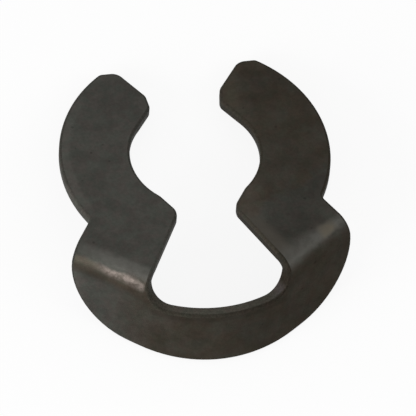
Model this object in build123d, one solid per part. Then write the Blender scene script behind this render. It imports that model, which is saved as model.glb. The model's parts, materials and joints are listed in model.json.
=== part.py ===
"""Retaining clip: one stamped piece of spring-steel sheet.

Two flat arms curl round a pin groove. Each arm runs back into a short leg, each leg is bent
down along a straight line square to it, and a curved bail joins the two legs below the bends.
The clip is drawn with its arms flat, then laid as it comes to rest: on both tips and the bail.
"""
from build123d import *
import math
import os

# Driving dimensions, in millimetres and degrees
sheet = 1.0                     # thickness of the steel
groove_radius = 5.0             # inner arcs of the arms, on the floor of the pin groove
arm_radius = 10.42              # outer arcs of the arms
tip_angle = 54.3                # outer corner of a tip, from the cross direction
inner_start_angle = 39.5        # upper end of an inner arc, from the cross direction
inner_end_angle = -48.7         # lower end of an inner arc, from the cross direction
tip_top_length = 1.36           # level top of a tip, inward from its outer corner
nose_standoff = 1.63            # the nose's upper corner, out from the groove circle
nose_angle = 64.2               # the nose's upper corner, from the cross direction
chin_standoff = 0.46            # the nose's lower corner, out from the groove circle
chin_angle = 60.3               # the nose's lower corner, from the cross direction
lobe_standoff = 0.91            # the lobe's corner, out from the groove circle
lobe_angle = -68.9              # the lobe's corner, from the cross direction

leg_angle = 32.0                # each leg's direction, from straight back
leg_inner = -1.5                # a leg's inner edge, measured along its bend line
leg_outer = 4.77                # a leg's outer edge, measured along its bend line
leg_run = 0.86                  # from the arms' outer circle to the start of the bend
bend_radius = 1.55              # outside radius of the bend
bend_angle = 81.0               # how far the bail is bent down

bail_depth = 7.67               # from the arms' top face to the lowest point of the bail
bail_edge_radius = 47.0         # the bail's long lower edge
bail_corner_radius = 6.0        # between the lower edge and the leg's outer edge
window_depth = 3.0              # from the arms' top face to the foot of the window
window_corner_width = 2.27      # lower corners of the window, along its foot

crown_radius = 0.94
tip_radius = 0.5
nose_radius = 0.68
chin_radius = 0.68
lobe_radius = 1.0
lobe_blend_radius = 1.5
notch_radius = 0.57
overrun = 2.0                   # how far a cutting shape runs past the sheet

# Directions of the right leg: outward, and along its bend line
turn = math.radians(leg_angle)
bend = math.radians(bend_angle)
outward = Vector(math.sin(turn), -math.cos(turn), 0)
along = Vector(math.cos(turn), math.sin(turn), 0)

# The bail's curve joins the two legs' walls smoothly, about a centre on the middle line
bend_start = arm_radius + leg_run
wall_face = bend_start + bend_radius
curve_radius = wall_face + leg_inner / math.tan(turn)
curve_centre = (curve_radius - wall_face) / math.cos(turn)


def plan_point(out, side):
    """A point of the right leg, by its distance outward and along the bend line."""
    point = outward * out + along * side
    return (point.X, point.Y)


def ring_point(radius, angle):
    """A point at a radius and angle about the pin's axis."""
    swing = math.radians(angle)
    return (radius * math.cos(swing), radius * math.sin(swing))


def rounded(face, point, radius):
    """The face with its corner nearest to a point rounded."""
    corner = face.vertices().sort_by_distance(Vector(point))[0]
    return fillet(corner, radius)


# The right arm and its leg, as a flat plate up to the bend
notch_out = math.sqrt(arm_radius ** 2 - leg_outer ** 2)
notch = plan_point(notch_out, leg_outer)
notch_angle = math.degrees(math.atan2(notch[1], notch[0]))
outer_arc = CenterArc((0, 0), arm_radius, notch_angle, tip_angle - notch_angle)
inner_arc = CenterArc((0, 0), groove_radius, inner_start_angle, inner_end_angle - inner_start_angle)
tip_corner = outer_arc @ 1
crown = tip_corner - Vector(tip_top_length, 0)
nose = ring_point(groove_radius + nose_standoff, nose_angle)
chin = ring_point(groove_radius + chin_standoff, chin_angle)
lobe = ring_point(groove_radius + lobe_standoff, lobe_angle)
root_inner = plan_point(bend_start, leg_inner)
root_outer = plan_point(bend_start, leg_outer)
tip_lines = Polyline(tip_corner, crown, nose, chin, inner_arc @ 0)
leg_lines = Polyline(inner_arc @ 1, lobe, root_inner, root_outer, notch)
arm_face = make_face([outer_arc, tip_lines, inner_arc, leg_lines])
arm_face = rounded(arm_face, tip_corner, tip_radius)
arm_face = rounded(arm_face, crown, crown_radius)
arm_face = rounded(arm_face, nose, nose_radius)
arm_face = rounded(arm_face, chin, chin_radius)
arm_face = rounded(arm_face, lobe, lobe_radius)
arm_face = rounded(arm_face, inner_arc @ 1, lobe_blend_radius)
arm_face = rounded(arm_face, notch, notch_radius)
arm = extrude(arm_face, sheet, dir=(0, 0, -1))

# The section of the bent sheet: a bend and the wall below it, drawn as (outward, up)
wall_length = (bail_depth + overrun) / math.sin(bend)
inner_radius = bend_radius - sheet


def section(centre_out):
    """The bend and wall in section, measured outward from a chosen upright line."""
    middle = (bend_start - centre_out, -bend_radius)
    outer_bend = CenterArc(middle, bend_radius, 90, -bend_angle)
    inner_bend = CenterArc(middle, inner_radius, 90, -bend_angle)
    fall = Vector(math.cos(bend), -math.sin(bend)) * wall_length
    outer_foot = (outer_bend @ 1) + fall
    inner_foot = (inner_bend @ 1) + fall
    foot_lines = Polyline(outer_bend @ 1, outer_foot, inner_foot, inner_bend @ 1)
    return make_face([outer_bend, foot_lines, inner_bend, Line(inner_bend @ 0, outer_bend @ 0)])


leg_plane = Plane(origin=along * leg_outer, x_dir=outward, z_dir=-along)
leg_wall = extrude(leg_plane * section(0), leg_outer - leg_inner)

curve_out = wall_face - curve_radius
curve_plane = Plane(origin=(0, curve_centre, 0), x_dir=(0, -1, 0), z_dir=(-1, 0, 0))
curve_axis = Axis((0, curve_centre, 0), (0, 0, 1))
curve_wall = revolve(curve_plane * section(curve_out), curve_axis, leg_angle)

# The bail's outline, cut level along the leg's direction and drawn as (along, up)
cut_plane = Plane(origin=(0, 0, 0), x_dir=along, z_dir=outward)
bend_drop = bend_radius * (1 - math.cos(bend))
bend_reach = bend_radius * (1 - math.sin(bend))
foot_radius = curve_radius - bend_reach + (bail_depth - bend_drop) / math.tan(bend)
foot_y = curve_centre - foot_radius
edge_middle = foot_y * math.sin(turn)
edge_span = leg_outer - edge_middle
edge_rise = bail_edge_radius - math.sqrt(bail_edge_radius ** 2 - edge_span ** 2)
edge_side = (leg_outer, -bail_depth + edge_rise)
edge_low = (edge_middle, -bail_depth)
edge_start = (edge_middle - overrun, -bail_depth)
lower_edge = RadiusArc(edge_low, edge_side, -bail_edge_radius)
outline_top = Line((leg_outer, overrun), (edge_middle - overrun, overrun))
outline_rest = Polyline(edge_side, outline_top @ 0, outline_top @ 1, edge_start, edge_low)
outline = make_face([lower_edge, outline_rest])
outline = rounded(outline, edge_side, bail_corner_radius)
reach = 2 * wall_face
bail_keep = extrude(cut_plane * outline, reach)

window_corner_height = window_depth - sheet
window_foot = leg_inner - window_corner_width
window_end = edge_middle - overrun
corner_middle = (window_foot, -window_depth + window_corner_height)
window_size = (window_corner_width, window_corner_height)
window_corner = EllipticalCenterArc(corner_middle, *window_size, start_angle=-90, arc_size=90)
window_top = Line((leg_inner, overrun), (window_end, overrun))
window_low = (window_end, -window_depth)
window_rest = Polyline(window_corner @ 1, window_top @ 0, window_top @ 1, window_low, window_corner @ 0)
window = make_face([window_corner, window_rest])
window_cut = extrude(cut_plane * window, reach)

leg_wall = leg_wall & bail_keep
curve_wall = (curve_wall & bail_keep) - window_cut
half = arm + leg_wall + curve_wall
flat_clip = (half + mirror(half, Plane.YZ)).clean()

# The rest pose: the floor touches both tips and the inside of the bail's foot
foot_inside = foot_y + sheet / math.sin(bend)
tip_reach = flat_clip.bounding_box().max.Y
rest_tilt = math.degrees(math.atan2(bail_depth - sheet, tip_reach - foot_inside))
tilted_clip = Rotation(-rest_tilt, 0, 0) * flat_clip
box = tilted_clip.bounding_box()
rest_shift = Vector(-box.center().X, -box.center().Y, -box.min.Z)
retaining_clip = Pos(rest_shift) * tilted_clip

os.makedirs("parts", exist_ok=True)
export_step(retaining_clip, "parts/retaining_clip.step")
print("rest tilt", rest_tilt, "pin centre on the arms' top face", rest_shift)
print("valid", retaining_clip.is_valid, "volume", retaining_clip.volume, "size", box.size)
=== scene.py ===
# %% [markdown]
# A retaining clip is one piece of spring-steel sheet. A press cuts a flat blank, and a tool then folds the
# bail down along two straight lines. This lesson makes the clip in the same order: cut the blank flat, fold
# it, give the sheet its thickness, round the cut edges a little, and then dress the steel.
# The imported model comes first, because it says how large the clip is and how it lies on the floor.

# %% Load the frame
import json
import math
import bmesh
import bpy
from mathutils import Matrix, Vector


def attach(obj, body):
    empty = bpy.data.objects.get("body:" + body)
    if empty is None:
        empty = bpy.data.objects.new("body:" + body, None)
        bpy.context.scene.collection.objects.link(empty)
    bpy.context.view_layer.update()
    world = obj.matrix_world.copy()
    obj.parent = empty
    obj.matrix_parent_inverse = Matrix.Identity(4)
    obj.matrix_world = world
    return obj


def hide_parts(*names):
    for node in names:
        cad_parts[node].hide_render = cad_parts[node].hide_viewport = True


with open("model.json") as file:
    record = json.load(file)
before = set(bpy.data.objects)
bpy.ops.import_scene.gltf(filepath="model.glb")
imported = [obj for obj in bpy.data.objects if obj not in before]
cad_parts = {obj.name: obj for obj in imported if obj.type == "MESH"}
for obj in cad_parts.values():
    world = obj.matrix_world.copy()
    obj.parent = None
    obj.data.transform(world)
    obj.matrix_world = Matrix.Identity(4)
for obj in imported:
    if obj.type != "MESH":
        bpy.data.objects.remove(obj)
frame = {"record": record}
bpy.context.view_layer.update()

# %% [markdown]
# The clip lies on its two tips and on the foot of its bail, so its arms slope. The record gives the pin
# groove's place and axis, and these two say how the flat arms are turned and moved. All work on the clip
# itself is done with the arms level, and one matrix then lays it down.

# %% The rest pose
MM = 0.001
SHEET = 1.0 * MM
groove = next(m for m in frame["record"]["mounts"] if m["name"] == "pin_groove")
axis = Vector(groove["axis"])
rest_tilt = math.atan2(axis.y, axis.z)
pin_centre = Vector(groove["pos_m"]) + axis * (SHEET / 2)
lay_down = Matrix.Translation(pin_centre) @ Matrix.Rotation(-rest_tilt, 4, "X")
print("rest tilt", math.degrees(rest_tilt), "pin centre", list(pin_centre))

# %% [markdown]
# The camera looks down steeply from the bail's side. It is far away behind a long lens, as in a catalogue
# picture, where near and far edges look equally large. Three angles and the point in the middle of the
# picture place it.

# %% Camera
VIEW_AZIMUTH = math.radians(-21.82)
VIEW_ELEVATION = math.radians(68.51)
VIEW_ROLL = math.radians(14.82)
VIEW_DISTANCE = 0.8
VIEW_FIELD = 31.85 * MM
VIEW_MIDDLE = Vector((0.559, -0.231, 2.216)) * MM
FILM_WIDTH = 36.0
NEAREST = 0.01
FARTHEST = 10.0

toward = Vector((math.sin(VIEW_AZIMUTH) * math.cos(VIEW_ELEVATION),
                 -math.cos(VIEW_AZIMUTH) * math.cos(VIEW_ELEVATION),
                 math.sin(VIEW_ELEVATION)))
camera = bpy.data.objects.new("camera", bpy.data.cameras.new("camera"))
bpy.context.scene.collection.objects.link(camera)
turn = toward.to_track_quat("Z", "Y").to_matrix().to_4x4() @ Matrix.Rotation(VIEW_ROLL, 4, "Z")
camera.matrix_world = Matrix.Translation(VIEW_MIDDLE + toward * VIEW_DISTANCE) @ turn
camera.data.sensor_width = FILM_WIDTH
camera.data.lens = FILM_WIDTH * VIEW_DISTANCE / VIEW_FIELD
camera.data.clip_start = NEAREST
camera.data.clip_end = FARTHEST
bpy.context.scene.camera = camera
print("lens", round(camera.data.lens), "mm at", VIEW_DISTANCE, "m")

# %% [markdown]
# The blank could be typed as a long list of points, but a die maker draws it with a few corners and arcs.
# Only the right half is drawn. A vertex spun about a centre leaves an arc of edges behind it, and straight
# edges join the arcs. The arms' sizes are those of the CAD part. The bail's edge and the window's corners are
# arcs that fit the CAD part's own, rolled out flat.

# %% Sizes of the blank
GROOVE_RADIUS = 5.0 * MM
ARM_RADIUS = 10.42 * MM
TIP_ANGLE = 54.3
TIP_TOP_LENGTH = 1.36 * MM
NOSE_RADIUS_OUT = 6.63 * MM
NOSE_ANGLE = 64.2
CHIN_RADIUS_OUT = 5.46 * MM
CHIN_ANGLE = 60.3
INNER_ANGLES = (39.5, -48.7)
LOBE_RADIUS_OUT = 5.91 * MM
LOBE_ANGLE = -68.9
LEG_ANGLE = math.radians(32.0)
LEG_INNER = -1.5 * MM
LEG_OUTER = 4.77 * MM
BEND_START = 11.28 * MM
BEND_RADIUS = 1.55 * MM
BEND_ANGLE = math.radians(81.0)
BAIL_DEPTH = 7.67 * MM
BAIL_EDGE_RADIUS = 15.18 * MM
BAIL_EDGE_SWEEP = 41.2
WINDOW_DEPTH = 3.0 * MM
WINDOW_FOOT_SWEEP = 21.4
STEPS_A_DEGREE = 0.4
print("pin groove", 2 * GROOVE_RADIUS / MM, "mm wide, bail", BAIL_DEPTH / MM, "mm deep")

# %% [markdown]
# Two directions describe a leg: outward, the way it runs from the pin, and along, the line it is folded on.
# Between the legs the bail is a shallow cone about one upright axis. On the flat blank this is a fan about
# the same point, so a run from the start of the bend says how far down the fold a point will go.

# %% Directions and folds
outward = Vector((math.sin(LEG_ANGLE), -math.cos(LEG_ANGLE), 0))
along = Vector((math.cos(LEG_ANGLE), math.sin(LEG_ANGLE), 0))
wall_face = BEND_START + BEND_RADIUS
curve_radius = wall_face + LEG_INNER / math.tan(LEG_ANGLE)
fan_start = curve_radius - BEND_RADIUS
fan_centre = Vector((0, (curve_radius - wall_face) / math.cos(LEG_ANGLE), 0))
bend_run = BEND_RADIUS * BEND_ANGLE
bend_drop = BEND_RADIUS * (1 - math.cos(BEND_ANGLE))


def run_at_depth(depth):
    """How far past the start of the bend a point of the wall lies on the flat blank."""
    return bend_run + (depth - bend_drop) / math.sin(BEND_ANGLE)


def ring_point(radius, degrees):
    """A point about the pin, by its radius and its angle from the cross direction."""
    swing = math.radians(degrees)
    return Vector((radius * math.cos(swing), radius * math.sin(swing), 0))


print("fan centre", list(fan_centre), "run of the bend", bend_run)

# %% [markdown]
# The outline is walked once round. Each helper goes on from the last vertex: one draws a straight edge, the
# other spins the vertex into an arc. Corners stay sharp at first.

# %% Walk round the blank
blank = bmesh.new()


def walk_to(last, place):
    """A straight edge from the last vertex to a new one."""
    new = blank.verts.new(place)
    blank.edges.new((last, new))
    return new


def walk_arc(last, centre, degrees):
    """An arc from the last vertex about an upright axis, counted anticlockwise."""
    steps = max(2, round(abs(degrees) * STEPS_A_DEGREE))
    spun = bmesh.ops.spin(blank, geom=[last], cent=centre, axis=(0, 0, 1),
                          angle=math.radians(degrees), steps=steps)
    return spun["geom_last"][0]


foot_low = fan_centre.y - fan_start - run_at_depth(BAIL_DEPTH)
edge_centre = Vector((0, foot_low + BAIL_EDGE_RADIUS, 0))
notch_out = math.sqrt(ARM_RADIUS ** 2 - LEG_OUTER ** 2)
notch_place = outward * notch_out + along * LEG_OUTER
notch_angle = math.degrees(math.atan2(notch_place.y, notch_place.x))

bail_middle = blank.verts.new((0, foot_low, 0))
edge_end = walk_arc(bail_middle, edge_centre, BAIL_EDGE_SWEEP)
sweep = math.radians(BAIL_EDGE_SWEEP)
tangent = Vector((math.cos(sweep), math.sin(sweep), 0))
to_side = (LEG_OUTER - edge_end.co.dot(along)) / tangent.dot(along)
bail_corner = walk_to(edge_end, edge_end.co + tangent * to_side)
notch = walk_to(bail_corner, notch_place)
tip_corner = walk_arc(notch, (0, 0, 0), TIP_ANGLE - notch_angle)
crown = walk_to(tip_corner, tip_corner.co - Vector((TIP_TOP_LENGTH, 0, 0)))
nose = walk_to(crown, ring_point(NOSE_RADIUS_OUT, NOSE_ANGLE))
chin = walk_to(nose, ring_point(CHIN_RADIUS_OUT, CHIN_ANGLE))
inner_start = walk_to(chin, ring_point(GROOVE_RADIUS, INNER_ANGLES[0]))
inner_end = walk_arc(inner_start, (0, 0, 0), INNER_ANGLES[1] - INNER_ANGLES[0])
lobe = walk_to(inner_end, ring_point(LOBE_RADIUS_OUT, LOBE_ANGLE))
root_inner = walk_to(lobe, outward * BEND_START + along * LEG_INNER)
foot_radius = fan_start + run_at_depth(WINDOW_DEPTH)
foot_turn = math.radians(WINDOW_FOOT_SWEEP)
corner_radius = foot_radius / math.cos(LEG_ANGLE - foot_turn)
window_corner = walk_to(root_inner, fan_centre + outward * corner_radius)
foot_place = fan_centre + Vector((math.sin(foot_turn), -math.cos(foot_turn), 0)) * foot_radius
foot_end = walk_to(window_corner, foot_place)
window_middle = walk_arc(foot_end, fan_centre, -WINDOW_FOOT_SWEEP)
blank.edges.new((window_middle, bail_middle))
bmesh.ops.contextual_create(blank, geom=blank.edges[:])
print("blank with", len(blank.verts), "points and", len(blank.faces), "face")

# %% [markdown]
# A punch never leaves a sharp corner. A bevel that works on vertices rounds a flat corner: its offset is the
# length from the corner to where the rounding starts, which follows from the radius and the turn.

# %% Round the corners
# Each corner with its radius in millimetres and the segments of its rounding
CORNERS = ((bail_corner, 6.0, 16), (notch, 0.57, 6), (tip_corner, 0.5, 6), (crown, 0.94, 8), (nose, 0.68, 6),
           (chin, 0.68, 8), (inner_end, 1.5, 4), (lobe, 1.0, 10), (window_corner, 2.86, 12))
MOST_OF_AN_EDGE = 0.999


def round_corner(vertex, radius, segments):
    """Rounds one corner of the flat blank."""
    one, two = [e.other_vert(vertex).co - vertex.co for e in vertex.link_edges]
    turn_left = math.pi - one.angle(two)
    offset = radius * math.tan(turn_left / 2)
    offset = min(offset, one.length * MOST_OF_AN_EDGE, two.length * MOST_OF_AN_EDGE)
    bmesh.ops.bevel(blank, geom=[vertex], offset=offset, offset_type="OFFSET", affect="VERTICES",
                    segments=segments, profile=0.5, clamp_overlap=False, material=-1)


for vertex, radius, segments in CORNERS:
    round_corner(vertex, radius * MM, segments)
print("rounded blank has", len(blank.verts), "points,", len(blank.faces), "face")

# %% [markdown]
# A flat face can't bend by itself: it needs edges where the fold goes. A bisecting plane cuts such edges.
# One cut parts the leg from the fan. Then cuts every two degrees divide the fan, and thirteen cuts, with one
# at each end, divide the bend into twelve parts. The first cut only helps to tell leg and fan apart. Left in,
# it would show as a dark crease, so it is dissolved at the end.

# %% Score the fold lines
BEND_PARTS = 12
FAN_PARTS = 16
FAN_ROOT = 0.5 * MM
NEAR = 0.001 * MM


def score(faces, place, normal):
    """Cuts one straight line across some faces of the blank."""
    parts = set(faces)
    for face in faces:
        parts.update(face.verts, face.edges)
    bmesh.ops.bisect_plane(blank, geom=list(parts), plane_co=place, plane_no=normal, dist=NEAR)


def in_fan(face, edge):
    """True for a face of the bail that lies further in than an edge beside the leg."""
    middle = face.calc_center_median()
    return middle.dot(along) < edge and middle.dot(outward) > ARM_RADIUS


score(blank.faces[:], fan_centre, along)
for cut in range(1, FAN_PARTS):
    swing = LEG_ANGLE * cut / FAN_PARTS
    spoke_normal = Vector((math.cos(swing), math.sin(swing), 0))
    score([f for f in blank.faces if in_fan(f, LEG_INNER)], fan_centre, spoke_normal)
for cut in range(BEND_PARTS + 1):
    line_out = BEND_START + bend_run * cut / BEND_PARTS
    beside_fan = [f for f in blank.faces if not in_fan(f, LEG_INNER - FAN_ROOT)]
    score(beside_fan, outward * line_out, outward)
seam = [e for e in blank.edges if not e.is_boundary
        and all(abs(v.co.dot(along) - LEG_INNER) < NEAR for v in e.verts)]
bmesh.ops.dissolve_edges(blank, edges=seam, use_verts=True)
print("scored blank has", len(blank.faces), "faces")

# %% [markdown]
# Folding moves each point by its run: level before the bend, round the bend's arc on it, and down the wall
# after it. The way to the sheet's other face turns with the fold, and it is level again at the bail's foot.
# The run, the side along the fold line and this way are kept on the points as layers. Run and side stay in
# the mesh as attributes, in millimetres, because the wear on the real clip follows the bends, and the finish
# reads them later.

# %% Fold the blank
run_layer = blank.verts.layers.float.new("run_mm")
side_layer = blank.verts.layers.float.new("side_mm")
way_layer = blank.verts.layers.float_vector.new("way_through")
wall_run = run_at_depth(BAIL_DEPTH) - bend_run
upright = math.pi / 2


def fold(place):
    """The folded place of a point of the blank, its run, and the way through the sheet below it."""
    if place.dot(along) < LEG_INNER and place.dot(outward) > ARM_RADIUS:
        origin = fan_centre
        start = fan_start
        run = (place - origin).length - fan_start
    else:
        origin = along * place.dot(along)
        start = BEND_START
        run = place.dot(outward) - BEND_START
    if run <= 0:
        return place.copy(), run, Vector((0, 0, -SHEET))
    way = (place - origin).normalized()
    bent = min(run, bend_run) / BEND_RADIUS
    rest = max(run - bend_run, 0)
    reach = start + BEND_RADIUS * math.sin(bent) + rest * math.cos(BEND_ANGLE)
    drop = BEND_RADIUS * (1 - math.cos(bent)) + rest * math.sin(BEND_ANGLE)
    lean = bent + (upright - BEND_ANGLE) * min(rest / wall_run, 1)
    deep = SHEET / math.cos(lean - bent)
    through = (way * math.sin(lean) + Vector((0, 0, math.cos(lean)))) * -deep
    return origin + way * reach - Vector((0, 0, drop)), run, through


for vertex in blank.verts:
    vertex[side_layer] = vertex.co.dot(along) / MM
    vertex.co, run_past, vertex[way_layer] = fold(vertex.co)
    vertex[run_layer] = run_past / MM
print("deepest point", min(v.co.z for v in blank.verts) / MM, "mm below the arms")

# %% [markdown]
# The left half is the right half in a mirror, and the seam in the middle of the bail is merged. A mirror
# turns faces inside out, so the normals are made to agree, and the arms' face is made to look up.

# %% Mirror the skin
MERGE = 0.002 * MM
half = blank.verts[:] + blank.edges[:] + blank.faces[:]
mirrored = bmesh.ops.mirror(blank, geom=half, axis="X", merge_dist=MERGE)
for vertex in mirrored["geom"]:
    if isinstance(vertex, bmesh.types.BMVert):
        vertex[way_layer].x *= -1
bmesh.ops.remove_doubles(blank, verts=blank.verts[:], dist=MERGE)
bmesh.ops.recalc_face_normals(blank, faces=blank.faces[:])
arm_face = max(blank.faces, key=lambda f: f.calc_area())
if arm_face.normal.z < 0:
    bmesh.ops.reverse_faces(blank, faces=blank.faces[:])
print("skin has", len(blank.verts), "points and", len(blank.faces), "faces")

# %% [markdown]
# Extruding the whole skin makes the second face of the sheet and the cut edge between the two in one step.
# The new points go through the sheet by the way that each one kept. Faces of the cut edge get the second
# material, because a sheared edge doesn't look like the rolled face. One matrix lays the clip down.

# %% Give the sheet its thickness
FACE_FINISH = 0
CUT_FINISH = 1
skin = set(blank.faces)
grown = bmesh.ops.extrude_face_region(blank, geom=blank.faces[:], use_keep_orig=True)
under = [g for g in grown["geom"] if isinstance(g, bmesh.types.BMVert)]
under_faces = {g for g in grown["geom"] if isinstance(g, bmesh.types.BMFace)}
for vertex in under:
    vertex.co += vertex[way_layer]
for face in blank.faces:
    face.smooth = True
    face.material_index = FACE_FINISH if face in skin or face in under_faces else CUT_FINISH
bmesh.ops.recalc_face_normals(blank, faces=blank.faces[:])
blank.verts.layers.float_vector.remove(way_layer)
bmesh.ops.transform(blank, matrix=lay_down, verts=blank.verts[:])
clip_mesh = bpy.data.meshes.new("clip_sheet")
blank.to_mesh(clip_mesh)
volume = blank.calc_volume() / MM ** 3
blank.free()
clip = bpy.data.objects.new("clip_sheet", clip_mesh)
bpy.context.scene.collection.objects.link(clip)
cut_faces = sum(p.material_index == CUT_FINISH for p in clip_mesh.polygons)
print("sheet of", round(volume, 1), "cubic mm, with", cut_faces, "faces on its cut edge")

# %% [markdown]
# Two modifiers finish the sheet. Bevel rolls the sharp edges over, as a punch does, and gives the roll the
# cut edge's material. Weighted normals keep the flat arms flat in the light.

# %% Rolled edges
ROLL = 0.2 * MM
ROLL_SEGMENTS = 4
SHARP = math.radians(50)
LARGE_FACES_WIN = 50
roll = clip.modifiers.new("rolled_edges", "BEVEL")
roll.width = ROLL
roll.segments = ROLL_SEGMENTS
roll.limit_method = "ANGLE"
roll.angle_limit = SHARP
roll.use_clamp_overlap = False
roll.material = CUT_FINISH
even = clip.modifiers.new("flat_light", "WEIGHTED_NORMAL")
even.mode = "FACE_AREA"
even.weight = LARGE_FACES_WIN
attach(clip, "root")
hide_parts("retaining_clip")
bpy.context.view_layer.update()

# %% [markdown]
# A finish is a tree of nodes, and a few steps come again and again: make a node, feed it with a socket or a
# number, turn a value into a smooth step, multiply masks, and lighten or darken a colour. One small helper
# does each of them. Nodes are set out in rows, in the order they are made, so that a tree can be read in the
# editor.

# %% Helpers for nodes
NODES_A_ROW = 12
NODE_WIDTH = 220
NODE_HEIGHT = 320
# A Mix node has sockets for numbers and vectors too. These are its factor, its two colours and its result
MIX_COLOUR_INPUTS = (0, 6, 7)
MIX_COLOUR_OUTPUT = 2
WHOLE = (0.0, 1.0)


def new_node(tree, kind, **values):
    """A node in the next free place of its tree, with its properties set."""
    row, column = divmod(len(tree.nodes), NODES_A_ROW)
    node = tree.nodes.new(kind)
    node.location = (column * NODE_WIDTH, -row * NODE_HEIGHT)
    for name, value in values.items():
        setattr(node, name, value)
    return node


def feed(tree, socket, value):
    """Links a node's socket to another socket, or sets it to a fixed value."""
    if isinstance(value, bpy.types.NodeSocket):
        tree.links.new(value, socket)
    else:
        socket.default_value = value


def math_node(tree, operation, first, second, clamp=False):
    """A Math node whose inputs are sockets or numbers."""
    node = new_node(tree, "ShaderNodeMath", operation=operation, use_clamp=clamp)
    feed(tree, node.inputs[0], first)
    feed(tree, node.inputs[1], second)
    return node.outputs[0]


def vector_node(tree, operation, *vectors):
    """A Vector Math node whose inputs are sockets or fixed vectors."""
    node = new_node(tree, "ShaderNodeVectorMath", operation=operation)
    for socket, value in zip(node.inputs, vectors):
        feed(tree, socket, value)
    measured = operation in ("DISTANCE", "LENGTH", "DOT_PRODUCT")
    return node.outputs["Value" if measured else "Vector"]


def x_y_z(tree, vector):
    """The three parts of a vector."""
    node = new_node(tree, "ShaderNodeSeparateXYZ")
    feed(tree, node.inputs[0], vector)
    return node.outputs


def noise_node(tree, vector, scale, detail, roughness=0.6):
    """A Noise texture read at a vector."""
    node = new_node(tree, "ShaderNodeTexNoise")
    feed(tree, node.inputs["Vector"], vector)
    feed(tree, node.inputs["Scale"], scale)
    feed(tree, node.inputs["Detail"], detail)
    feed(tree, node.inputs["Roughness"], roughness)
    return node.outputs["Fac"]


def ramp(tree, value, ends, results=WHOLE):
    """A smooth step between two results, while a value goes between two ends."""
    node = new_node(tree, "ShaderNodeMapRange", interpolation_type="SMOOTHSTEP")
    names = ("Value", "From Min", "From Max", "To Min", "To Max")
    for name, given in zip(names, (value, *ends, *results)):
        feed(tree, node.inputs[name], given)
    return node.outputs["Result"]


def falls(tree, value, ends):
    """A smooth step from one down to nought."""
    return ramp(tree, value, ends, (1.0, 0.0))


def product(tree, *masks):
    """Several masks multiplied: one only where each of them is one."""
    result = masks[0]
    for mask in masks[1:]:
        result = math_node(tree, "MULTIPLY", result, mask)
    return result


def band(tree, value, rise, fall):
    """One between two steps of a value, and nought outside them."""
    return product(tree, ramp(tree, value, rise), falls(tree, value, fall))


def mix_colour(tree, factor, first, second, blend="MIX"):
    """A Mix node for colours. Its inputs are sockets or fixed values."""
    node = new_node(tree, "ShaderNodeMix", data_type="RGBA", blend_type=blend)
    for index, value in zip(MIX_COLOUR_INPUTS, (factor, first, second)):
        feed(tree, node.inputs[index], value)
    return node.outputs[MIX_COLOUR_OUTPUT]


def shaded(tree, colour, value, shades, ends=WHOLE):
    """A colour times a shade that goes between two numbers while a value goes between its ends."""
    return mix_colour(tree, 1.0, colour, ramp(tree, value, ends, shades), blend="MULTIPLY")


print("node helpers ready")

# %% [markdown]
# The steel was blackened and oiled, and it isn't one colour: grey on the left, with a brown film on the right
# arm and most of the bail. The left rim and a strip beside the right gap get painted light. Over it all lie
# soft mottling with a hint of pink and green, a fine grain and a few dark specks. The faces and the cut edge
# both need this, so it is a node group that puts out masks, and each finish mixes its own colours.

# %% A node group for the film and grain
FILM_MASKS = ("Arm Brown", "Bail Brown", "Right", "Left Rim", "Lit Strip",
              "Blotch", "Mottle", "Tint", "Grain", "Specks")
film = bpy.data.node_groups.new("film_and_grain", "ShaderNodeTree")
film.interface.new_socket("Vector", in_out="INPUT", socket_type="NodeSocketVector")
for name in FILM_MASKS:
    film.interface.new_socket(name, in_out="OUTPUT", socket_type="NodeSocketFloat")
vector = new_node(film, "NodeGroupInput").outputs["Vector"]
leave = new_node(film, "NodeGroupOutput")


def put_out(name, mask):
    """Links a mask to one of the group's outputs."""
    feed(film, leave.inputs[name], mask)


print("film group with", len(FILM_MASKS), "masks")

# %% [markdown]
# The large masks say where the film lies, and where the left rim and a strip by the right gap get painted
# light. A picture could be painted for this, but the clip's own places do it as well: steps across the clip
# in
# X and Y, and a distance from the pin for the outer rim. Slow clouds of noise make the brown uneven.

# %% Where the film and the painted light lie
ARM_BROWN_X = (-1.0 * MM, 3.5 * MM)
BAIL_BROWN_X = (-9.0 * MM, -4.2 * MM)
RIGHT_X = (-3.0 * MM, 5.5 * MM)
RIM_X = (-8.8 * MM, -7.0 * MM)
RIM_Y = (-1.4 * MM, 0.4 * MM)
RIM_RADIUS = (9.3 * MM, 9.9 * MM)
LIT_STRIP_START_X = (0.0 * MM, 1.5 * MM)
LIT_STRIP_END_X = (2.6 * MM, 6.0 * MM)
# Most of a noise lies between these two values
NOISE_MIDDLE = (0.3, 0.7)
CLOUD_SCALE = 420
CLOUD_DETAIL = 3
CLOUD_COVER = (0.65, 1.1)

film_places = x_y_z(film, vector)
clouds = noise_node(film, vector, CLOUD_SCALE, CLOUD_DETAIL)
clouds = ramp(film, clouds, NOISE_MIDDLE, CLOUD_COVER)
for name, ends in (("Arm Brown", ARM_BROWN_X), ("Bail Brown", BAIL_BROWN_X)):
    covered = ramp(film, film_places["X"], ends)
    put_out(name, math_node(film, "MULTIPLY", covered, clouds, clamp=True))
put_out("Right", ramp(film, film_places["X"], RIGHT_X))
# The rim and strip masks mark painted light, on the left rim and beside the right gap
outer = ramp(film, vector_node(film, "DISTANCE", vector, pin_centre), RIM_RADIUS)
leftmost = falls(film, film_places["X"], RIM_X)
upper = ramp(film, film_places["Y"], RIM_Y)
put_out("Left Rim", product(film, outer, leftmost, upper))
put_out("Lit Strip", band(film, film_places["X"], LIT_STRIP_START_X, LIT_STRIP_END_X))
print("brown film between", [x / MM for x in ARM_BROWN_X], "mm on the arms")

# %% [markdown]
# The small masks are noises of four sizes. The specks come from a Voronoi texture: each cell has a dot in its
# middle, and the cell's random colour lets only a few of the dots show.

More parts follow.
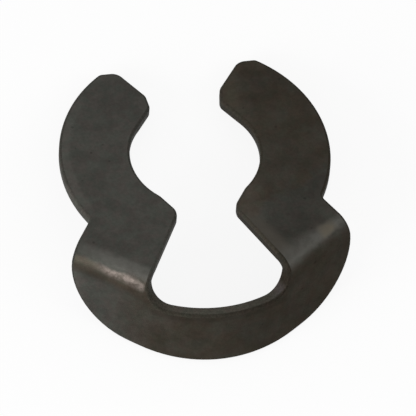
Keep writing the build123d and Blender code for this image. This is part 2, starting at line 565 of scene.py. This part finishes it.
# %% Mottling, grain and specks
# Each mask with its noise's scale, detail and roughness, and the ends of its step
NOISES = (("Blotch", 620, 2, 0.6, (0.3, 0.7)), ("Mottle", 1600, 3, 0.6, (0.3, 0.7)),
          ("Tint", 1300, 2, 0.6, (0.35, 0.65)), ("Grain", 4500, 2, 0.7, (0.25, 0.75)))
SPECK_SCALE = 900
SPECK_CHANCE = (0.75, 0.8)
SPECK_RADIUS = (0.05, 0.14)

for name, scale, detail, roughness, ends in NOISES:
    noise = noise_node(film, vector, scale, detail, roughness)
    put_out(name, ramp(film, noise, ends))
dots = new_node(film, "ShaderNodeTexVoronoi")
feed(film, dots.inputs["Vector"], vector)
feed(film, dots.inputs["Scale"], SPECK_SCALE)
chance = new_node(film, "ShaderNodeSeparateColor")
feed(film, chance.inputs[0], dots.outputs["Color"])
few = ramp(film, chance.outputs[0], SPECK_CHANCE)
round_dot = falls(film, dots.outputs["Distance"], SPECK_RADIUS)
put_out("Specks", product(film, few, round_dot))
print("film group with", len(film.nodes), "nodes")

# %% [markdown]
# Both finishes start and end alike. They read the place on the clip, the film's masks, and the run and side
# that the fold left on the points, in millimetres. At the end colour, roughness and a fine bump go to the
# shader. What is the same all over, such as how metallic it is, is set on the shader's own sockets.

# %% Start and end of a finish
PINK_HINT = (1.055, 0.982, 0.982, 1)
GREEN_HINT = (0.965, 1.008, 0.982, 1)
LOW_GLOSS = 0.1


def new_finish(name):
    """A material's tree, with the place on the clip, its run and side, and the film's masks."""
    finish = bpy.data.materials.new(name)
    finish.use_nodes = True
    clip_mesh.materials.append(finish)
    tree = finish.node_tree
    where = new_node(tree, "ShaderNodeTexCoord").outputs["Object"]
    run = new_node(tree, "ShaderNodeAttribute", attribute_name="run_mm").outputs["Fac"]
    side = new_node(tree, "ShaderNodeAttribute", attribute_name="side_mm").outputs["Fac"]
    group = new_node(tree, "ShaderNodeGroup", node_tree=film)
    feed(tree, group.inputs["Vector"], where)
    return tree, where, run, side, group.outputs


def hinted(tree, colour, masks):
    """A colour with a hint of pink in some places and of green in others."""
    hint = mix_colour(tree, masks["Tint"], PINK_HINT, GREEN_HINT)
    return mix_colour(tree, 1.0, colour, hint, blend="MULTIPLY")


def set_shader(tree, colour, rough, relief, strength, depth):
    """Feeds the shader with a colour, a roughness and a bump, and gives it a low gloss."""
    shader = tree.nodes["Principled BSDF"]
    bump = new_node(tree, "ShaderNodeBump")
    feed(tree, bump.inputs["Strength"], strength)
    feed(tree, bump.inputs["Distance"], depth)
    feed(tree, bump.inputs["Height"], relief)
    feed(tree, shader.inputs["Base Color"], colour)
    feed(tree, shader.inputs["Roughness"], rough)
    feed(tree, shader.inputs["Normal"], bump.outputs["Normal"])
    shader.inputs["Specular IOR Level"].default_value = LOW_GLOSS
    return shader


print("hints of pink", PINK_HINT[:3], "and green", GREEN_HINT[:3])

# %% [markdown]
# The faces of the sheet are dark metal under a thin black skin. First the grey and the brown are laid down.
# On the legs the brown film is thin, with a ragged end, and the right leg is duller there. The left rim, the
# strip by the right gap and the left shoulder of the bail get painted light, and the top of each tip a
# painted highlight. The far part of the arms is a little darker.

# %% Grey steel and brown film
GREY_STEEL = (0.0620, 0.0612, 0.0546, 1)
BROWN_FILM = (0.0500, 0.0432, 0.0330, 1)
HALVES_X = (-2.0 * MM, 2.0 * MM)
WANDER_SCALE = 700
WANDER_DETAIL = 2
WANDER_MM = (-0.1, 0.1)
RAGGED_TIMES = 8.0
LEG_RUN = (-4.8, -2.6)
LEG_FILM = (1.0, 0.3)
TIP_TOPS_Y = (10.9 * MM, 11.5 * MM)
FAR_ARMS_Y = (5.0 * MM, 10.5 * MM)
SHOULDER_X = (-10.6 * MM, -9.4 * MM)
BAIL_RUN = (1.1, 1.8)
PAINTED_LIGHT_RIM = (1.0, 1.22)
PAINTED_HIGHLIGHT_TIPS = (1.0, 1.16)
DARK_FAR_ARMS = (1.0, 0.91)
PAINTED_LIGHT_STRIP = (1.0, 1.44)
DULL_LEG = (1.0, 0.84)
DEEP_BAIL = (0.975, 0.89)
PAINTED_LIGHT_SHOULDER = (1.32, 1.0)

tree, where, run, side, masks = new_finish("blackened_spring_steel")
places = x_y_z(tree, where)
left = falls(tree, places["X"], HALVES_X)
right = math_node(tree, "SUBTRACT", 1.0, left)
wander = noise_node(tree, where, WANDER_SCALE, WANDER_DETAIL)
wander = ramp(tree, wander, NOISE_MIDDLE, WANDER_MM)
ragged = math_node(tree, "ADD", run, math_node(tree, "MULTIPLY", wander, RAGGED_TIMES))
clean_leg = ramp(tree, ragged, LEG_RUN, LEG_FILM)
dull_leg = product(tree, math_node(tree, "SUBTRACT", 1.0, clean_leg), right)
arm_brown = product(tree, masks["Arm Brown"], clean_leg)
on_arms = mix_colour(tree, arm_brown, GREY_STEEL, BROWN_FILM)
# Painted light on the left rim
on_arms = shaded(tree, on_arms, masks["Left Rim"], PAINTED_LIGHT_RIM)
# A painted highlight along the top of each tip
on_arms = shaded(tree, on_arms, places["Y"], PAINTED_HIGHLIGHT_TIPS, TIP_TOPS_Y)
on_arms = shaded(tree, on_arms, places["Y"], DARK_FAR_ARMS, FAR_ARMS_Y)
# Painted light on the strip by the right gap
on_arms = shaded(tree, on_arms, masks["Lit Strip"], PAINTED_LIGHT_STRIP)
on_arms = shaded(tree, on_arms, dull_leg, DULL_LEG)
on_bail = mix_colour(tree, masks["Bail Brown"], GREY_STEEL, BROWN_FILM)
on_bail = shaded(tree, on_bail, masks["Bail Brown"], DEEP_BAIL)
# Painted light on the bail's left shoulder
on_bail = shaded(tree, on_bail, places["X"], PAINTED_LIGHT_SHOULDER, SHOULDER_X)
colour = mix_colour(tree, ramp(tree, run, BAIL_RUN), on_arms, on_bail)
print("grey and brown with", len(tree.nodes), "nodes")

# %% [markdown]
# Then come the shades that lie over arms and bail alike: a painted highlight on the shoulder at the outer end
# of the right bend, a line of painted shade under the window's rim, a darker right half, and the mottling,
# hints, grain and specks.

# %% Mottling on the faces
SHOULDER_RISE = (-2.2, -0.6)
SHOULDER_FALL = (0.0, 0.6)
SHOULDER_SIDE = (2.4, 4.2)
UNDER_RIM_RISE = (3.9, 4.0)
UNDER_RIM_FALL = (4.3, 4.7)
UNDER_RIM_SIDE = (-2.6, -1.8)
PAINTED_HIGHLIGHT_SHOULDER = (1.0, 1.18)
PAINTED_SHADE_UNDER_RIM = (1.0, 0.84)
DARK_RIGHT = (1.0, 0.80)
BLOTCHES = (0.92, 1.08)
MOTTLES = (0.94, 1.06)
GRAINS = (0.94, 1.06)
DARK_SPECKS = (1.0, 0.75)

shoulder = band(tree, run, SHOULDER_RISE, SHOULDER_FALL)
shoulder = product(tree, shoulder, ramp(tree, side, SHOULDER_SIDE), right)
under_rim = band(tree, run, UNDER_RIM_RISE, UNDER_RIM_FALL)
under_rim = product(tree, under_rim, falls(tree, side, UNDER_RIM_SIDE))
# A painted highlight on the outer shoulder of the right bend
colour = shaded(tree, colour, shoulder, PAINTED_HIGHLIGHT_SHOULDER)
# A line of painted shade under the window's rim
colour = shaded(tree, colour, under_rim, PAINTED_SHADE_UNDER_RIM)
colour = shaded(tree, colour, masks["Right"], DARK_RIGHT)
colour = hinted(tree, colour, masks)
colour = shaded(tree, colour, masks["Blotch"], BLOTCHES)
colour = shaded(tree, colour, masks["Mottle"], MOTTLES)
colour = shaded(tree, colour, masks["Grain"], GRAINS)
colour = shaded(tree, colour, masks["Specks"], DARK_SPECKS)
print("mottled faces with", len(tree.nodes), "nodes")

# %% [markdown]
# Each bend gets a soft band of painted highlight, over the highlight the lamps give it. The band wanders a
# little, leans with the side, and is patchy. On the right it gets firmer toward the outer end, and fades
# slowly at the inner end. On the left it starts later, and it is softer at both ends. A strip along the right
# leg's inner edge gets a painted highlight too, and the right band has one warm spot.

# %% The painted highlight on the bends
PAINTED_SHEEN_STEEL = (0.099, 0.097, 0.087, 1)
WARM_SPOT = (0.115, 0.100, 0.075, 1)
LEG_EDGE_HIGHLIGHT = (0.066, 0.060, 0.050, 1)
GENTLE_LEAN = 0.09
SHEEN_FADE = (1.05, 1.6)
LONG_FADE = (0.75, 2.3)
LONG_FADE_SIDE = (-0.6, 1.4)
PATCH_ENDS = (0.1, 0.9)
PATCHES = (0.75, 1.1)
FIRM_SIDE = (0.0, 3.5)
FIRM = (0.65, 0.95)
FIRM_START_SIDE = (0.3, 3.5)
FIRM_START = (-0.6, -0.15)
FIRM_FULL = 0.7
SOFT_OUTER_SIDE = (2.2, 4.4)
SOFT_OUTER = (1.0, 0.55)
SOFT_INNER_SIDE = (-1.4, 0.8)
SOFT_INNER = (0.78, 1.0)
SOFT_RISE = (0.1, 0.65)
WARM_RISE = (2.0, 2.9)
WARM_FALL = (3.2, 4.1)
LEG_HIGHLIGHT_SIDE_RISE = (-1.5, -1.25)
LEG_HIGHLIGHT_SIDE_FALL = (-0.8, 0.2)
LEG_HIGHLIGHT_RUN_RISE = (-4.5, -3.0)
LEG_HIGHLIGHT_RUN_FALL = (0.2, 1.0)

wavy = math_node(tree, "ADD", run, wander)
gentle = math_node(tree, "ADD", wavy, math_node(tree, "MULTIPLY", side, GENTLE_LEAN))
slow_end = product(tree, falls(tree, gentle, LONG_FADE), falls(tree, side, LONG_FADE_SIDE), right)
faded = math_node(tree, "MAXIMUM", falls(tree, gentle, SHEEN_FADE), slow_end)
patchy = ramp(tree, masks["Mottle"], PATCH_ENDS, PATCHES)
firm_start = ramp(tree, side, FIRM_START_SIDE, FIRM_START)
firm = product(tree, ramp(tree, side, FIRM_SIDE, FIRM), ramp(tree, wavy, (firm_start, FIRM_FULL)), right)
soft = ramp(tree, side, SOFT_OUTER_SIDE, SOFT_OUTER)
soft = product(tree, soft, ramp(tree, side, SOFT_INNER_SIDE, SOFT_INNER))
soft = product(tree, soft, ramp(tree, wavy, SOFT_RISE), left)
painted_sheen = product(tree, faded, patchy, math_node(tree, "ADD", firm, soft))
warm = product(tree, band(tree, side, WARM_RISE, WARM_FALL), right, painted_sheen)
leg_edge_highlight = product(tree, band(tree, side, LEG_HIGHLIGHT_SIDE_RISE, LEG_HIGHLIGHT_SIDE_FALL), right)
leg_edge_highlight = product(tree, leg_edge_highlight, band(tree, run, LEG_HIGHLIGHT_RUN_RISE, LEG_HIGHLIGHT_RUN_FALL))
# A painted highlight along the right leg's inner edge
colour = mix_colour(tree, leg_edge_highlight, colour, LEG_EDGE_HIGHLIGHT)
# The painted highlight along each bend, warm in one spot on the right
colour = mix_colour(tree, painted_sheen, colour, PAINTED_SHEEN_STEEL)
colour = mix_colour(tree, warm, colour, WARM_SPOT)
print("slid bands with", len(tree.nodes), "nodes")

# %% [markdown]
# The left bend carries more marks, one over the other. A brown stain lies along it, its far end is darkened
# by painted shade, a line of painted shade lies below it, which goes on faintly at the right, and the crest
# is rubbed to bright steel, painted brighter still as the bend's highlight and broken up by a fine noise. All
# of them run a little askew to the bend, so they lean with the side.

# %% The rubbed crest and the line of painted shade
RUBBED_STEEL_AND_HIGHLIGHT = (0.215, 0.180, 0.160, 1)
BROWN_STAIN = (1.10, 0.99, 0.88, 1)
SHADE_LINE = (0.026, 0.021, 0.0155, 1)
STEEP_LEAN = 0.12
STAIN_RISE = (1.6, 2.1)
STAIN_FALL = (2.7, 3.4)
STAIN_SIDE = (-1.3, 0.3)
STAIN_START = (0.3, 1.0)
FAR_RISE = (1.4, 1.9)
FAR_FALL = (2.4, 3.0)
FAR_SIDE = (3.0, 4.3)
FAR_END_SHADE = (1.0, 0.76)
SHADE_LINE_RISE = (2.45, 2.85)
SHADE_LINE_FALL = (3.0, 3.8)
SHADE_LINE_SIDE = (-1.0, 4.5)
SHADE_LINE_DEPTH = (0.2, 0.45)
SHADE_LINE_RIGHT_TO_LEFT = (0.25, 1.0)
CREST_RISE = (1.48, 1.92)
CREST_FALL = (2.0, 2.55)
CREST_SIDE_RISE = (-1.45, -1.0)
CREST_SIDE_FALL = (0.9, 3.5)
RUB_SCALE = 2600
RUB_DETAIL = 2
RUB_ENDS = (0.32, 0.62)
RUBS = (0.35, 1.0)

steep = math_node(tree, "ADD", wavy, math_node(tree, "MULTIPLY", side, STEEP_LEAN))
stain = product(tree, band(tree, steep, STAIN_RISE, STAIN_FALL), left)
stain = product(tree, stain, ramp(tree, side, STAIN_SIDE, STAIN_START))
far_end = product(tree, band(tree, steep, FAR_RISE, FAR_FALL), ramp(tree, side, FAR_SIDE), left)
shade_line = product(tree, band(tree, steep, SHADE_LINE_RISE, SHADE_LINE_FALL), ramp(tree, side, SHADE_LINE_SIDE, SHADE_LINE_DEPTH))
shade_line = product(tree, shade_line, ramp(tree, left, WHOLE, SHADE_LINE_RIGHT_TO_LEFT))
crest = product(tree, band(tree, steep, CREST_RISE, CREST_FALL), left)
crest = product(tree, crest, band(tree, side, CREST_SIDE_RISE, CREST_SIDE_FALL))
rubs = noise_node(tree, where, RUB_SCALE, RUB_DETAIL)
crest = product(tree, crest, ramp(tree, rubs, RUB_ENDS, RUBS))
colour = mix_colour(tree, stain, colour, BROWN_STAIN, blend="MULTIPLY")
# Painted shade that dims the bend's highlight at its far end
colour = shaded(tree, colour, far_end, FAR_END_SHADE)
# A line of painted shade below the crest
colour = mix_colour(tree, shade_line, colour, SHADE_LINE)
# Rubbed steel on the crest, painted brighter to stand also for the bend's highlight
colour = mix_colour(tree, crest, colour, RUBBED_STEEL_AND_HIGHLIGHT)
print("marks on the left bend with", len(tree.nodes), "nodes")

# %% [markdown]
# The skin is thin, so the faces are mostly metal, with a dull shine that varies with the mottling. The grain
# gives a very low bump.

# %% Shine of the faces
FACE_ROUGHNESS = (0.42, 0.52)
FACE_METALLIC = 0.7
FACE_GLOSS_TINT = (0.35, 0.33, 0.30, 1)
GRAIN_STRENGTH = 0.12
GRAIN_DEPTH = 0.03 * MM

rough = ramp(tree, masks["Mottle"], WHOLE, FACE_ROUGHNESS)
shader = set_shader(tree, colour, rough, masks["Grain"], GRAIN_STRENGTH, GRAIN_DEPTH)
shader.inputs["Metallic"].default_value = FACE_METALLIC
shader.inputs["Specular Tint"].default_value = FACE_GLOSS_TINT
print("faces finish with", len(tree.nodes), "nodes")

# %% [markdown]
# A sheared edge is darker and rougher than the rolled faces, because the punch tears it, and it was blackened
# too. Round the window it is browner, and redder at the right. The window's foot gets a rim of painted light,
# pinkish at the right corner. The rim lies on the flat of the cut and not on its roll. The run is the same on
# both, so a distance from the fan's axis parts them.

# %% The sheared edge
SHEARED_STEEL = (0.055, 0.0540, 0.0470, 1)
SHEARED_BROWN = (0.036, 0.0318, 0.0240, 1)
BROWN_WINDOW = (0.94, 0.89, 0.80, 1)
RED_WINDOW = (0.87, 0.81, 0.81, 1)
LIT_WINDOW_RIM = (0.097, 0.0910, 0.0750, 1)
LIT_PINK_CORNER = (0.084, 0.075, 0.072, 1)
LIT_STRIP_CUT = (1.0, 1.05)
WINDOW_SIDE = (-1.4, -0.5)
WINDOW_RUN = (0.8, 2.2)
FOOT_RISE = (2.9, 3.5)
FOOT_FALL = (3.95, 4.2)
FOOT_REACH = (10.38 * MM, 10.56 * MM)
FOOT_START_X = (-6.0 * MM, -3.0 * MM)
FOOT_FADE_X = (1.0 * MM, 2.8 * MM)
FOOT_FADE = (1.0, 0.8)
CORNER_X = (3.8 * MM, 4.8 * MM)

tree, where, run, side, masks = new_finish("sheared_edge")
across = x_y_z(tree, where)["X"]
arms_up = lay_down.to_3x3() @ Vector((0, 0, 1))
colour = mix_colour(tree, masks["Right"], SHEARED_STEEL, SHEARED_BROWN)
# A little painted light on the cut by the right gap
colour = shaded(tree, colour, masks["Lit Strip"], LIT_STRIP_CUT)
in_window = product(tree, falls(tree, side, WINDOW_SIDE), ramp(tree, run, WINDOW_RUN))
window_tint = mix_colour(tree, masks["Right"], BROWN_WINDOW, RED_WINDOW)
colour = mix_colour(tree, in_window, colour, window_tint, blend="MULTIPLY")
from_axis = vector_node(tree, "SUBTRACT", where, lay_down @ fan_centre)
axis_reach = vector_node(tree, "LENGTH", vector_node(tree, "CROSS_PRODUCT", from_axis, arms_up))
# A rim of painted light on the window's foot, pinkish at the right corner
rim = product(tree, band(tree, run, FOOT_RISE, FOOT_FALL), falls(tree, axis_reach, FOOT_REACH))
rim = product(tree, rim, ramp(tree, across, FOOT_START_X), ramp(tree, across, FOOT_FADE_X, FOOT_FADE))
rim_colour = mix_colour(tree, ramp(tree, across, CORNER_X), LIT_WINDOW_RIM, LIT_PINK_CORNER)
colour = mix_colour(tree, rim, colour, rim_colour)
print("cut edge with", len(tree.nodes), "nodes")

# %% [markdown]
# The roll has the same material as the cut below it, and on the arms its height beside their face tells it
# apart. It gets a painted highlight on the left rim and on the inner edges of the right arm. The cut gets
# painted light on the left rim and on the left leg, and a little painted shade on the right leg's inner side.

# %% The roll and the cut on the arms
ROLL_HEIGHT = (-0.42 * MM, -0.18 * MM)
NEAR_PIN = (8.5 * MM, 9.5 * MM)
LEG_INNER_SIDE = (0.0, 1.5)
ARM_RUN = (-1.0, 0.5)
LEFT_LEG_RISE = (-5.0, -3.5)
LEFT_LEG_FALL = (-0.3, 1.2)
LEFT_CUT_LIGHT = (1.0, 1.11)
RIGHT_ROLL_HIGHLIGHT = (1.0, 1.30)
RIGHT_LEG_CUT_SHADE = (1.0, 0.93)
RIGHT_LEG_ROLL_HIGHLIGHT = (1.0, 1.25)
LEFT_ROLL_HIGHLIGHT = (1.0, 1.07)
LEFT_LEG_CUT_LIGHT = (1.0, 1.3)

from_pin = vector_node(tree, "SUBTRACT", where, pin_centre)
rolled = ramp(tree, vector_node(tree, "DOT_PRODUCT", from_pin, arms_up), ROLL_HEIGHT)
near_pin = falls(tree, vector_node(tree, "LENGTH", from_pin), NEAR_PIN)
by_leg = falls(tree, side, LEG_INNER_SIDE)
inner_edge = math_node(tree, "MAXIMUM", near_pin, by_leg)
inner_edge = product(tree, inner_edge, masks["Right"], falls(tree, run, ARM_RUN))
right_leg = product(tree, by_leg, inner_edge)
left_leg = product(tree, band(tree, run, LEFT_LEG_RISE, LEFT_LEG_FALL), falls(tree, masks["Right"], WHOLE))
# Painted light, highlights and shade on the cut and the roll
colour = shaded(tree, colour, masks["Left Rim"], LEFT_CUT_LIGHT)
colour = shaded(tree, colour, product(tree, rolled, inner_edge), RIGHT_ROLL_HIGHLIGHT)
colour = shaded(tree, colour, right_leg, RIGHT_LEG_CUT_SHADE)
colour = shaded(tree, colour, product(tree, rolled, right_leg), RIGHT_LEG_ROLL_HIGHLIGHT)
colour = shaded(tree, colour, product(tree, rolled, masks["Left Rim"]), LEFT_ROLL_HIGHLIGHT)
colour = shaded(tree, colour, left_leg, LEFT_LEG_CUT_LIGHT)
colour = hinted(tree, colour, masks)
print("rolled edge with", len(tree.nodes), "nodes")

# %% [markdown]
# The punch left fine lines across the sheet. A noise that is stretched in Z gives them, and it sets the
# colour, the roughness and the bump at once. The black skin is thicker here, so little of the shine is
# metal.

# %% Lines and shine of the cut edge
LINE_STRETCH = (1.0, 1.0, 0.06)
LINE_SCALE = 6000
LINE_DETAIL = 2
LINE_SHADES = (0.8, 1.2)
EDGE_ROUGHNESS = (0.5, 0.62)
EDGE_METALLIC = 0.2
EDGE_GLOSS_TINT = (0.2, 0.19, 0.17, 1)
LINE_STRENGTH = 0.25
LINE_DEPTH = 0.04 * MM

stroke = new_node(tree, "ShaderNodeMapping")
feed(tree, stroke.inputs["Vector"], where)
feed(tree, stroke.inputs["Scale"], LINE_STRETCH)
lines = noise_node(tree, stroke.outputs["Vector"], LINE_SCALE, LINE_DETAIL)
colour = shaded(tree, colour, lines, LINE_SHADES, NOISE_MIDDLE)
rough = ramp(tree, lines, NOISE_MIDDLE, EDGE_ROUGHNESS)
shader = set_shader(tree, colour, rough, lines, LINE_STRENGTH, LINE_DEPTH)
shader.inputs["Metallic"].default_value = EDGE_METALLIC
shader.inputs["Specular Tint"].default_value = EDGE_GLOSS_TINT
print("edge finish with", len(tree.nodes), "nodes")

# %% [markdown]
# A small dark part is shown on a white floor. The floor answers the camera and mirror rays with white, and a
# little of its own shading keeps the clip's soft shadow. Other rays meet a plain pale floor.

# %% Floor
FLOOR_SIZE = 0.5
FLOOR_WHITE = (0.9, 0.9, 0.9, 1)
GLOW_STRENGTH = 1.10
GLOW_SHARE = 0.8


def seen_directly(tree):
    """One where a ray comes from the camera, a mirror reflection or glass, and else nought."""
    rays = new_node(tree, "ShaderNodeLightPath").outputs
    total = math_node(tree, "ADD", rays["Is Camera Ray"], rays["Is Glossy Ray"])
    return math_node(tree, "ADD", total, rays["Is Transmission Ray"], clamp=True)


floor_shape = bmesh.new()
bmesh.ops.create_grid(floor_shape, x_segments=1, y_segments=1, size=FLOOR_SIZE)
floor_mesh = bpy.data.meshes.new("floor")
floor_shape.to_mesh(floor_mesh)
floor_shape.free()
floor = bpy.data.objects.new("floor", floor_mesh)
bpy.context.scene.collection.objects.link(floor)
paper = bpy.data.materials.new("white_paper")
paper.use_nodes = True
tree = paper.node_tree
tree.nodes.clear()
matte = new_node(tree, "ShaderNodeBsdfDiffuse")
matte.inputs["Color"].default_value = FLOOR_WHITE
glow = new_node(tree, "ShaderNodeEmission")
glow.inputs["Strength"].default_value = GLOW_STRENGTH
blend = new_node(tree, "ShaderNodeMixShader")
feed(tree, blend.inputs["Fac"], math_node(tree, "MULTIPLY", seen_directly(tree), GLOW_SHARE))
feed(tree, blend.inputs[1], matte.outputs[0])
feed(tree, blend.inputs[2], glow.outputs[0])
out = new_node(tree, "ShaderNodeOutputMaterial")
feed(tree, out.inputs["Surface"], blend.outputs[0])
floor_mesh.materials.append(paper)
print("floor", FLOOR_SIZE * 2, "m wide")

# %% [markdown]
# The light is a plain white surround with two soft lamps in front of the bail, one on each side. They find
# the two bends and draw a bright line along each. The left one is lower, larger and stronger.

# %% Light
SURROUND = 0.4
LAMP_DISTANCE = 0.35
# Each lamp with its direction from the clip, its size in metres and its power in watts
LAMPS = (("left_lamp", (-0.85, -0.45, 0.28), 0.24, 0.7),
         ("right_lamp", (0.785, -0.304, 0.541), 0.16, 0.1))

world = bpy.data.worlds.new("surround")
bpy.context.scene.world = world
world.use_nodes = True
tree = world.node_tree
sky = tree.nodes["Background"]
sky.inputs["Color"].default_value = (1, 1, 1, 1)
feed(tree, sky.inputs["Strength"], ramp(tree, seen_directly(tree), WHOLE, (SURROUND, 1.0)))
for name, way, size, power in LAMPS:
    lamp = bpy.data.objects.new(name, bpy.data.lights.new(name, "AREA"))
    lamp.data.size = size
    lamp.data.energy = power
    lamp.location = VIEW_MIDDLE + Vector(way).normalized() * LAMP_DISTANCE
    lamp.rotation_euler = Vector(way).to_track_quat("Z", "Y").to_euler()
    bpy.context.scene.collection.objects.link(lamp)
bpy.context.scene.view_settings.view_transform = "Standard"
print("two lamps and a surround of", SURROUND)

# %% Update the scene
bpy.context.view_layer.update()
